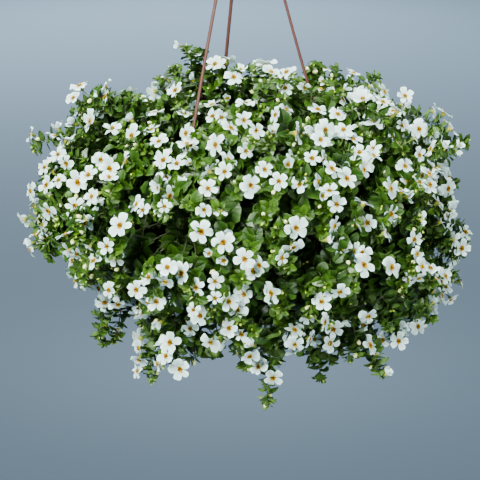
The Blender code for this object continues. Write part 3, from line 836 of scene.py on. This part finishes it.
def at_distances(path, distances):
    """Points and tangents of a path at distances back from its end, and which are on the path."""
    steps = np.linalg.norm(np.diff(path[::-1], axis=0), axis=1)
    gone = np.concatenate(([0], np.cumsum(steps)))
    both = np.hstack((path, unit(np.gradient(path, axis=0))))[::-1]
    found = np.stack([np.interp(distances, gone, column) for column in both.T], -1)
    return found[:, :3], unit(found[:, 3:]), distances < gone[-1] - 0.002


def flat(values):
    """One row for every joint of every shoot."""
    return values.reshape(-1, *values.shape[2:])


stretch = draw.uniform(0.85, 1.2, TIPS)
found = [at_distances(path, FROM_TIP * s) for path, s in zip(paths, stretch)]
joints, tangents, there = (np.stack(part) for part in zip(*found))
side = unit(np.cross(tangents, unit(draw.standard_normal((TIPS, 1, 3)))))
upper = np.cross(tangents, side)
turn = draw.uniform(0, 2 * math.pi, (TIPS, 1)) + np.arange(JOINTS) * math.pi / 2
turn = turn + draw.normal(0, 0.12, (TIPS, JOINTS))
leaf_side = np.cos(turn)[..., None] * side + np.sin(turn)[..., None] * upper

# %% [markdown]
# ## Flowers: where they stand
# A flower grows on a thin stalk from the corner between a leaf and the stem, and turns its face
# outward and to the light.  Every joint below the tip offers two places.  They are taken in a
# random order that favours the surface, and a place is passed over if it lies too deep or a
# flower already stands near.

# %% Candidate flowers
FLOWER_JOINTS = slice(4, 13)
PLACES = 2 * (FLOWER_JOINTS.stop - FLOWER_JOINTS.start)
TOWARDS_LIGHT = np.array([-0.05, -0.16, 0.38])
FACING_SCATTER = 0.70
STALK_LENGTHS = (0.009, 0.017)
MOUTH_AHEAD = 0.004


def in_flower_joints(values):
    """The values of every joint that may flower, twice: once for each of its two corners."""
    return np.repeat(flat(values[:, FLOWER_JOINTS]), 2, axis=0)


roots, root_tangents = in_flower_joints(joints), in_flower_joints(tangents)
axils = in_flower_joints(leaf_side) * np.tile((1, -1), len(roots) // 2)[:, None]
root_plant = np.repeat(plant, PLACES)
scarce = np.repeat(draw.uniform(0, 0.004, TIPS), PLACES)
from_middle = unit(roots - (0, 0, MOUND_MIDDLE))
lift = unit(axils * 0.75 + root_tangents * 0.35 + from_middle * 1.0)
stalk_length = draw.uniform(*STALK_LENGTHS, len(roots))
level = from_middle * np.where(from_middle[:, 2:] < 0, (1, 1, 0.3), 1)
scatter = draw.normal(0, FACING_SCATTER, roots.shape)
faces_out = unit(level * 0.9 + lift * 0.25 + TOWARDS_LIGHT + scatter)
mouths = roots + lift * stalk_length[:, None] + faces_out * MOUTH_AHEAD
print("flower places", len(mouths))

# %% Take places that are far enough from those already taken
FLOWERS = 705
APART = 0.0125
HIGHEST, DEEPEST, BEST_DEPTH = -0.050, 0.034, 0.004
DEPTH_WEIGHT, ORDER_SCATTER = 0.3, 0.024
LEG_CLEARANCE = 0.011
deep_in = mound_depth(mouths)
beside_pot = (np.hypot(mouths[:, 0], mouths[:, 1]) < RIM_RADIUS + 0.016) & (mouths[:, 2] < RIM_Z + 0.012)
leg_points = np.vstack([leg_path(a, bow)[::3] for a, bow in zip(LEG_AZIMUTHS, LEG_BOWS)])
leg_near = np.linalg.norm(mouths[:, None] - leg_points, axis=2).min(1) < LEG_CLEARANCE
growing = in_flower_joints(there)
order = np.flatnonzero(growing & ~beside_pot & ~leg_near & (deep_in > HIGHEST) & (deep_in < DEEPEST))
off_surface = np.abs((deep_in[order] - BEST_DEPTH).clip(-0.006))
late = off_surface * DEPTH_WEIGHT + scarce[order] + draw.uniform(0, ORDER_SCATTER, len(order))
order = order[np.argsort(late)]
taken = []
for candidate in order:
    if len(taken) == FLOWERS:
        break
    if not taken or np.linalg.norm(mouths[taken] - mouths[candidate], axis=1).min() > APART:
        taken.append(candidate)
taken = np.array(taken)
print("flowers", len(taken), "of", len(order), "places")

# %% [markdown]
# ## Flowers: petals
# A flower has five broad petals: two that stand up, two that spread sideways and one that hangs.
# Each is a thin closed blade, broadest near its rounded tip and narrow at its foot.  Four rows of
# points between two ends are laid on an arc: rising where it leaves the throat, and level or bent
# back at its rim.  In a flower that is still half open it rises more, all the way to its rim.

# %% Petal shape
PETAL_ROWS = np.array((0.15, 0.45, 0.74, 0.93))
PETAL_HALF_WIDTHS = np.array((0.66, 0.96, 1.0, 0.68))
PETAL_FACES = turned_faces(len(PETAL_ROWS), 4)
PETAL_THICK = 0.0002
row_share = np.concatenate(((0,), np.repeat(PETAL_ROWS, 4), (1,)))
row_across = np.concatenate(((0,), np.outer(PETAL_HALF_WIDTHS, (0, 1, 0, -1)).ravel(), (0,)))
row_lift = np.concatenate(((0,), np.tile((PETAL_THICK, 0, -PETAL_THICK, 0), len(PETAL_ROWS)), (0,)))
petal_marks = {"along": row_share, "across": np.sign(row_across)}
print("a petal has", len(row_share), "points and", len(PETAL_FACES), "faces")


def petals(*numbers):
    """Blades in their own axes: across, along the foot's direction, and up.

    The numbers are length, width, rises, falls, cup, twist and notch, each for every petal.  The
    midline starts at the angle rises and ends at the angle falls, so at a share u of the length it
    has come the integral of (cos, sin) of rises + (falls - rises) u.  The sides are raised by cup
    times the square of the distance from the midline, and turned by twist.  The tip is drawn back
    by notch."""
    length, width, rises, falls, cup, twist, notch = (v[:, None] for v in numbers)
    share = row_share - notch * (row_share == 1)
    bend = falls - rises
    swept = rises + bend * share
    along = length * (np.sin(swept) - np.sin(rises)) / bend
    up = -length * (np.cos(swept) - np.cos(rises)) / bend
    wave = 0.10 * np.sin(9 * share + 3 * row_across + 40 * twist) * np.abs(row_across)
    up = up + width * share * (cup * row_across**2 + twist * row_across + wave) + row_lift
    return np.stack((row_across * width / 2, along, up), -1)


# %% [markdown]
# ## Flowers: throats, calyxes and stalks
# Behind the petals is a short yellow tube that opens into an oval throat, longer up and down than
# sideways.  A calyx of five pointed green lobes holds the tube, at the end of a thread-thin stalk.
# Their sizes are in metres from the flower's mouth.

# %% Throat and tube
THROAT_SIDES = 8
throat_radii = (0, 0.0009, 0.0014, 0.0019, 0.0021, 0.0014, 0)
throat_heights = (-0.0072, -0.0070, -0.0040, -0.0010, 0.0008, -0.0002, -0.0026)
throat_shape, throat_faces = turned(throat_radii, throat_heights, THROAT_SIDES)
throat_shape = throat_shape * (1.15, 1.75, 1)
beside = np.abs(np.cos(np.arange(THROAT_SIDES) * 2 * math.pi / THROAT_SIDES)) > 0.8


def throat_mark(tube_end, rings, pit):
    """One number for each ring of the throat, with one for the pole at each end."""
    return np.concatenate(([tube_end], np.repeat(rings, THROAT_SIDES), [pit]))


throat_patch = throat_mark(0, (0, 0, 0, 1, 1), 0.5)
throat_patch[1:-1] *= np.tile(beside, len(throat_radii) - 2)
throat_depth = throat_mark(0, (0, 0, 0, 0, 0.60), 1)
throat_tube = throat_mark(1, (1, 1, 0.5, 0, 0), 0)
print("a throat has", len(throat_faces), "faces")

# %% Calyx
CALYX_SIDES = 10
CALYX_BEHIND = 0.0085
calyx_radii = (0, 0.0016, 0.0025, 0)
calyx_heights = (-0.0088, -0.0078, -0.0036, -0.0062)
calyx_shape, calyx_faces = turned(calyx_radii, calyx_heights, CALYX_SIDES)
between = 1 + CALYX_SIDES + np.arange(1, CALYX_SIDES, 2)
calyx_shape[between] = calyx_shape[between] * (0.85, 0.85, 1) - (0, 0, 0.0016)
print("a calyx has", len(calyx_faces), "faces")

# %% Set the flowers
SIZE_MEAN, SIZE_SPREAD, SIZE_LIMITS = 0.73, 0.12, (0.48, 1.02)
HALF_OPEN_SHARE, HALF_OPEN_SIZE = 0.14, 0.86
STALK_POINTS = 4
mouth, facing = mouths[taken], faces_out[taken]
count = len(taken)
lean = draw.normal(0, 0.35, (count, 1))
flower_axes = axes_for(facing, UP + around(draw.uniform(0, 2 * math.pi, count))[0] * 0.25)
flower_side = np.cos(lean) * flower_axes[:, 0] + np.sin(lean) * flower_axes[:, 2]
flower_up = np.cross(facing, flower_side)
flower_axes = np.stack((flower_side, flower_up, facing), -2)
flower_size = draw.normal(SIZE_MEAN, SIZE_SPREAD, count).clip(*SIZE_LIMITS)
half_open = draw.uniform(0, 1, count) < HALF_OPEN_SHARE
flower_size = np.where(half_open, flower_size * HALF_OPEN_SIZE, flower_size)
stalk_end = mouth - facing * CALYX_BEHIND * flower_size[:, None]
stalk_paths = bezier(roots[taken], roots[taken] + axils[taken] * 0.004 + root_tangents[taken] * 0.002,
                     stalk_end - facing * 0.004, stalk_end, STALK_POINTS)
print("half open", int(half_open.sum()), "of", count)

# %% Set the petals, the hanging one first
PETAL_SIZES = np.array((1.06, 1.02, 0.95, 0.95, 1.02))
PETAL_LENGTH, PETAL_WIDTH = 0.0108, 0.0088
FOOT_OUT, FOOT_BEHIND, PETAL_STEP = 0.0016, 0.0010, 0.00035
RISE_OPEN, RISE_HALF_OPEN = 0.30, 0.75
FALL_OPEN, FALL_HALF_OPEN = -0.18, 1.25
petal, whose = np.tile(np.arange(5), count), np.repeat(np.arange(count), 5)
total = len(petal)
petal_angle = (-math.pi / 2 + petal * 2 * math.pi / 5 + draw.normal(0, 0.07, total))[:, None]
petal_size = PETAL_SIZES[petal] * draw.normal(1, 0.08, total)
rises = np.where(half_open[whose], RISE_HALF_OPEN, RISE_OPEN) + draw.normal(0, 0.10, total)
falls = np.where(half_open[whose], FALL_HALF_OPEN, FALL_OPEN) + draw.normal(0, 0.26, total)
falls = falls + np.repeat(draw.normal(0, 0.20, count), 5)
petal_length = PETAL_LENGTH * flower_size[whose] * petal_size
petal_width = PETAL_WIDTH * flower_size[whose] * petal_size * draw.normal(1, 0.09, total)
blades = petals(petal_length, petal_width, rises + 0.001, falls, draw.normal(0.09, 0.18, total),
                draw.normal(0, 0.16, total), draw.uniform(-0.05, 0.16, total))
petal_out = np.cos(petal_angle) * flower_side[whose] + np.sin(petal_angle) * flower_up[whose]
petal_axes = np.stack((np.cross(petal_out, facing[whose]), petal_out, facing[whose]), -2)
petal_feet = mouth[whose] + petal_out * FOOT_OUT - facing[whose] * FOOT_BEHIND
petal_points = stamped(blades, petal_feet, petal_axes)
petal_points += (facing * PETAL_STEP)[whose][:, None] * (petal % 2)[:, None, None]
print("petals", total)

# %% [markdown]
# ## Leaves
# A leaf is a rounded egg shape with blunt teeth; a young one is narrow and stands up at the tip.
# Thousands are needed, so each is a closed lens of few faces: a rim that runs up one margin and
# down the other, and one point above and one below the middle.  The midline is an arc and the rim
# stands higher, which folds the blade along its midrib.  Teeth are bites between the rim's points.

# %% Leaf shape
LEAF_KINDS = {"young": (3, 0.0), "toothed": (5, 0.14), "broad": (7, 0.13), "shaded": (3, 0.0)}
LEAF_THICK = 0.00025


def leaf_outline(kind):
    """Shares of the length and of the half width: the point below, then the rim, then the point above.

    The half width is the root of a sine arch, less the bite at every other point of a margin."""
    margin_points, bite = LEAF_KINDS[kind]
    up = np.linspace(0.14, 0.91, margin_points)
    half = np.sin(math.pi * up**0.82) ** 0.5 * np.where(np.arange(margin_points) % 2, 1 - bite, 1)
    return (np.concatenate(((0.5, 0), up, (1,), up[::-1], (0.5,))),
            np.concatenate(((0, 0), half, (0,), -half[::-1], (0,))))


def leaves(kind, *numbers):
    """Lenses of a kind: across, along and up, for each leaf's length, width, fold and curl.

    The midline at a share u of the length is l sin(cu)/c along and l (1 - cos(cu))/c down."""
    length, width, fold, curl = (v[:, None] for v in numbers)
    along, across = leaf_outline(kind)
    thick = np.zeros(len(along))
    thick[[0, -1]] = -LEAF_THICK, LEAF_THICK
    out = across * width / 2
    up = fold * np.abs(out) - length * (1 - np.cos(curl * along)) / curl + thick
    return np.stack((out, length * np.sin(curl * along) / curl, up), -1)


def leaf_marks(kind):
    """How far along and across the blade each point is, and whether it's on the underside."""
    along, across = leaf_outline(kind)
    return {"along": along, "across": np.sign(np.abs(across)), "under": np.arange(len(along)) == 0}


print("points of a leaf", {kind: len(leaf_outline(kind)[0]) for kind in LEAF_KINDS})

# %% [markdown]
# ### How leaves stand on a shoot
# The two leaves of a joint stand at an angle from the stem that opens as they grow, and turn their
# faces outward and up.  The further they are from the tip, the longer, rounder and darker they
# are.  Small tufts of four new leaves fill many of the corners, a few millimetres out from the
# stem: two that are nearly closed, and two that are open.

# %% Every leaf's place, size and lie
INNER_LARGER, INNER_AGE_AND_SHADE = 1.25, 0.25


def grown(within):
    """How far the leaves of every joint have come, where most of the change is within a distance."""
    return 1 - np.exp(-FROM_TIP / within)


leaf_length = 0.0040 + 0.0051 * grown(0.0028) + 0.0030 * grown(0.020)
leaf_length = leaf_length * draw.normal(1, 0.12, (TIPS, JOINTS)).clip(0.7, 1.35)
leaf_length[OUTER_TIPS:] *= INNER_LARGER
spreads = 0.50 + 0.95 * grown(0.007) + draw.normal(0, 0.13, (TIPS, JOINTS))
leaf_age = grown(0.020) * 0.95 + draw.normal(0, 0.15, (TIPS, JOINTS))
# The deeper shoots' leaves are older, and the extra age also darkens them as a painted shade inside the
# mound.
leaf_age[OUTER_TIPS:] += INNER_AGE_AND_SHADE
ahead, aside = np.cos(spreads)[..., None], np.sin(spreads)[..., None]
from_middle = unit(joints - (0, 0, MOUND_MIDDLE))
leaf_lists = []
for sign in (1, -1):
    normal = leaf_side * sign
    direction = ahead * tangents + aside * normal + draw.normal(0, 0.16, joints.shape)
    face = aside * tangents - ahead * normal + (0.80, 0.80, 0.50) * from_middle + 0.35 * UP
    face = face + draw.normal(0, 0.35, joints.shape)
    size = leaf_length * draw.normal(1, 0.06, leaf_length.shape)
    place = joints + normal * 0.0006, axes_for(direction, face)
    leaf_lists.append([flat(v) for v in (*place, size, leaf_age, *np.indices(there.shape), there)])
print("leaves from", round(leaf_length.min(), 4), "to", round(leaf_length.max(), 4), "m long")

# %% Small new leaves in the corners of older ones
TUFT_JOINTS = slice(5, 12)
TUFT_CHANCE = 0.28
TUFT_LEAVES = ((0, 0.5, 0.70), (180, 0.5, 0.70), (90, 1.1, 1.0), (270, 1.1, 1.0))
corners = there[:OUTER_TIPS, TUFT_JOINTS]
tuft_shoot, tuft_joint = np.nonzero(corners & (draw.uniform(0, 1, corners.shape) < TUFT_CHANCE))
tufts, spots = len(tuft_shoot), (tuft_shoot, tuft_joint + TUFT_JOINTS.start)
tuft_out = leaf_side[spots] * draw.choice((-1, 1), (tufts, 1))
tuft_axis = unit(tangents[spots] * 0.8 + tuft_out * 0.7 + draw.normal(0, 0.15, tuft_out.shape))
tuft_root = joints[spots] + tuft_axis * draw.uniform(0.002, 0.007, (tufts, 1))
tuft_side = unit(np.cross(tuft_axis, draw.standard_normal(tuft_axis.shape)))
tuft_upper = np.cross(tuft_axis, tuft_side)
tuft_size = draw.uniform(0.0050, 0.0085, tufts)
for spin, opening, share in TUFT_LEAVES:
    spin = math.radians(spin)
    out = math.cos(spin) * tuft_side + math.sin(spin) * tuft_upper
    direction = math.cos(opening) * tuft_axis + math.sin(opening) * out + draw.normal(0, 0.12, out.shape)
    face = tuft_axis * math.sin(opening) - out * math.cos(opening)
    leaf_lists.append((tuft_root, axes_for(unit(direction), face), tuft_size * share,
                       draw.uniform(0.0, 0.35, tufts), tuft_shoot, np.ones(tufts, int), np.ones(tufts, bool)))
leaf_roots, leaf_axes, leaf_sizes, leaf_ages, leaf_shoot, leaf_joint, leaf_there = (
    np.concatenate(part) for part in zip(*leaf_lists))
print("tufts", tufts, "places for leaves", len(leaf_roots))

# %% [markdown]
# ## Leaves give way
# A leaf whose middle lies on the middle of a flower is left out, and so is one that reaches into
# the pot.  Side shoots are bare below their twelfth joint, where little light comes, and the deeper
# ones have no young leaves at their tips.

# %% Which leaves stay, and of which kind they are
MOUTH_CLEAR = 0.0036
reach = leaf_axes[:, 1] * leaf_sizes[:, None]
middles, ends = leaf_roots + reach * 0.55, leaf_roots + reach
blocked = np.zeros(len(middles), bool)
for centre, forward in zip(mouth, facing):
    apart = middles - centre
    ahead = apart @ forward
    wide = np.linalg.norm(apart - ahead[:, None] * forward, axis=1)
    blocked |= (wide < MOUTH_CLEAR) & (ahead > -0.0035) & (ahead < 0.008)
in_pot = (np.hypot(ends[:, 0], ends[:, 1]) < RIM_RADIUS + 0.002) & (ends[:, 2] < RIM_Z + 0.002)
in_pot &= ends[:, 2] > POT_BASE_Z - 0.004
of_inner = leaf_shoot >= OUTER_TIPS
bare = np.select([np.isin(leaf_shoot, main_tips), of_inner],
                 [False, (leaf_joint < 2) | (leaf_joint > 12)], leaf_joint > 11)
keep_leaf = leaf_there & ~blocked & ~in_pot & ~bare
leaf_kind = np.select([of_inner, leaf_joint < 2, (leaf_joint > 4) & (leaf_joint < 10)],
                      ["shaded", "young", "broad"], "toothed")
leaf_plant = plant[leaf_shoot]
leaf_shape = 0.58 + 0.32 * grown(0.006)[leaf_joint] + 0.05 * of_inner
print("leaves", int(keep_leaf.sum()), "of", len(keep_leaf), "blocked", int(blocked.sum()))

# %% [markdown]
# ## Buds
# The youngest corners hold round yellow-green buds, and a few joints down are cream ones that are
# about to open.  Both are small turned eggs that stand out from the corner by the length of a
# stalk.  The stalk itself is as thin as a thread, and is left out.

# %% Bud shape
BUD_SIDES = 6
BUD_KINDS = ((slice(1, 4), 0.0012, 0.45, 0.0), (slice(4, 8), 0.0021, 0.13, 1.0))
bud_shape, bud_faces = turned((0, 0.82, 0.82, 0), (-1.2, -0.7, 0.7, 1.5), BUD_SIDES)
bud_up = (bud_shape[:, 2] / 1.5).clip(0, 1)
print("a bud has", len(bud_faces), "faces")

# %% [markdown]
# ## The three plants
# A plant is built in layers: its shoots with the stalks and calyxes of its flowers, the petals, the
# throats, the young and shaded leaves, the full-grown ones, and the buds.  All of them together
# take the place of the plant's shoots in the frame.

# %% Layers
MAIN_GIRTH, SIDE_GIRTH, STALK_GIRTH = 0.0015, 0.0009, 0.00045
BUD_STALK = 2.6


def at_mouths(shape, flowers):
    """One copy of a shape in the mouth of each flower."""
    return stamped(shape, mouth[flowers], flower_axes[flowers], flower_size[flowers])


def stems(shoots, flowers):
    """Shoots that taper to half at the tip, with the flowers' stalks and calyxes."""
    heap, share, is_main = Heap(), np.linspace(0, 1, STATIONS), np.isin(shoots, main_tips)
    groups = (shoots[is_main], MAIN_GIRTH, 6, 3), (shoots[~is_main], SIDE_GIRTH, 4, 9)
    for group, girth, sides, step in groups:
        picks = np.unique(np.append(np.arange(0, STATIONS, step), STATIONS - 1))
        thin = girth * (1 - 0.5 * share[picks])
        heap.add(*rods(paths[group][:, picks], (0.31, 0.22, 0.1), thin, thin, sides),
                 age=np.repeat((1 - share[picks]) ** 0.7, sides))
    heap.add(*rods(stalk_paths[flowers], (0.3, 0.2, 0.1), STALK_GIRTH, STALK_GIRTH, 4), age=0.1)
    return heap.add(at_mouths(calyx_shape, flowers), calyx_faces, age=0.15)


def foliage(number, *kinds):
    """The plant's leaves of some kinds, each a little different in width, fold and curl."""
    heap = Heap()
    for kind in kinds:
        chosen = np.flatnonzero(keep_leaf & (leaf_plant == number) & (leaf_kind == kind))
        length, spares = leaf_sizes[chosen], draw.standard_normal((3, len(chosen)))
        blades = leaves(kind, length, length * (leaf_shape[chosen] + 0.06 * spares[0]),
                        0.45 + 0.15 * spares[1], 0.5 + 0.35 * spares[2] + 0.001)
        heap.add(stamped(blades, leaf_roots[chosen], leaf_axes[chosen]),
                 turned_faces(1, 2 * LEAF_KINDS[kind][0] + 2),
                 age=leaf_ages[chosen][:, None].clip(0, 1), **leaf_marks(kind))
    return heap


def buds(shoots):
    """Green buds near the tips and riper ones below, a stalk's length out of the leaves' corners."""
    heap = Heap()
    for at, size, chance, ripeness in BUD_KINDS:
        spots, outs, ups = (flat(v[shoots, at]) for v in (joints, leaf_side, tangents))
        chosen = draw.uniform(0, 1, len(spots)) < chance
        away = unit(outs + ups * draw.uniform(0.6, 1.4, (len(outs), 1)))[chosen]
        heap.add(stamped(bud_shape, spots[chosen] + away * (size * BUD_STALK + size),
                         axes_for(away, UP)[:, (2, 0, 1)], draw.uniform(0.8, 1.2, chosen.sum()) * size),
                 bud_faces, ripe=ripeness, height=bud_up)
    return heap


# %% Build the three plants
for number, (name, nodes) in enumerate(sorted(plants.items())):
    shoots, flowers = np.flatnonzero(plant == number), np.flatnonzero(root_plant[taken] == number)
    blades = Heap().add(petal_points[np.isin(whose, flowers)], PETAL_FACES, **petal_marks)
    throats = Heap().add(at_mouths(throat_shape, flowers), throat_faces,
                         patch=throat_patch, depth=throat_depth, tube=throat_tube)
    for piece in (stems(shoots, flowers).piece(f"{name}_stems", stem_green, "stems"),
                  blades.piece(f"{name}_petals", petal_white, "petals"),
                  throats.piece(f"{name}_throats", throat_gold, "petals"),
                  foliage(number, "young", "shaded").piece(f"{name}_young_leaves", leaf_green, "foliage", 30),
                  foliage(number, "toothed", "broad").piece(f"{name}_leaves", leaf_green, "foliage", 30),
                  buds(shoots).piece(f"{name}_buds", bud_cream, "buds")):
        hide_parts(*nodes)
    print(name, "shoots", len(shoots), "flowers", len(flowers))

# %% [markdown]
# ## Floor and light
# The light is soft: a broad key lamp in front, high on the left, a weaker fill low on the right,
# one above, and an even grey-blue surrounding.  The floor is one large plain plane, far enough
# below that the basket hangs free.  More lamps brighten it behind the basket, and some at the
# sides and in front, so that it's much the same all round.

# %% Floor
FLOOR_Z = RIM_Z - 4.2
FLOOR_HALF = 90.0
floor_mesh = bpy.data.meshes.new("floor")
corners = [(a * FLOOR_HALF, b * FLOOR_HALF, FLOOR_Z) for a, b in ((-1, -1), (1, -1), (1, 1), (-1, 1))]
floor_mesh.from_pydata(corners, [], [(0, 1, 2, 3)])
paper = Finish("floor_paper", 0.2)
floor_mesh.materials.append(paper.coloured((0.18, 0.26, 0.34), 0.9))
floor = bpy.data.objects.new("floor", floor_mesh)
bpy.context.collection.objects.link(floor)
print("floor at", round(FLOOR_Z, 2), "m")


# %% Lights
def area_light(name, place, target, size, power, colour):
    """A square lamp that faces a target."""
    lamp = bpy.data.lights.new(name, "AREA")
    lamp.size, lamp.energy, lamp.color = size, power, colour
    made = bpy.data.objects.new(name, lamp)
    away = np.array(place) - target
    made.location = place
    made.rotation_euler = (math.atan2(np.hypot(away[0], away[1]), away[2]), 0,
                           math.atan2(away[1], away[0]) + math.pi / 2)
    made.visible_camera = False
    bpy.context.collection.objects.link(made)


COOL = (0.95, 0.98, 1.0)
BEHIND = (((0, 13, 3), 1.2, 51), ((-5, 40, 26), 10.4, 15400), ((-1.5, 50, 12), 4.8, 1540))
middle, below = np.array([0, 0, MOUND_MIDDLE]), np.array([0, 0, FLOOR_Z])
area_light("key", (-1.3, -2.0, 1.3), middle, 1.1, 430, (0.96, 1.0, 0.98))
area_light("fill", (1.5, -2.1, -0.8), middle, 1.6, 120, (0.96, 0.99, 1.0))
area_light("top", (0.1, 0.5, 1.9), middle, 1.4, 160, (0.98, 1.0, 1.0))
for place, size, power in BEHIND:
    area_light("floor_behind", below + place, below + (*place[:2], 0), size, power, COOL)
for azimuth in (0, math.pi, -math.pi / 2):
    outward, _ = around(azimuth)
    area_light("floor_around", below + outward * 17 + UP * 12, below + outward * 26, 4.0, 3500, COOL)
world = bpy.data.worlds.new("studio")
bpy.context.scene.world = world
world.use_nodes = True
background = world.node_tree.nodes["Background"].inputs
background["Color"].default_value = (0.66, 0.71, 0.74, 1)
background["Strength"].default_value = 0.21
print("lamps", len(bpy.data.lights))
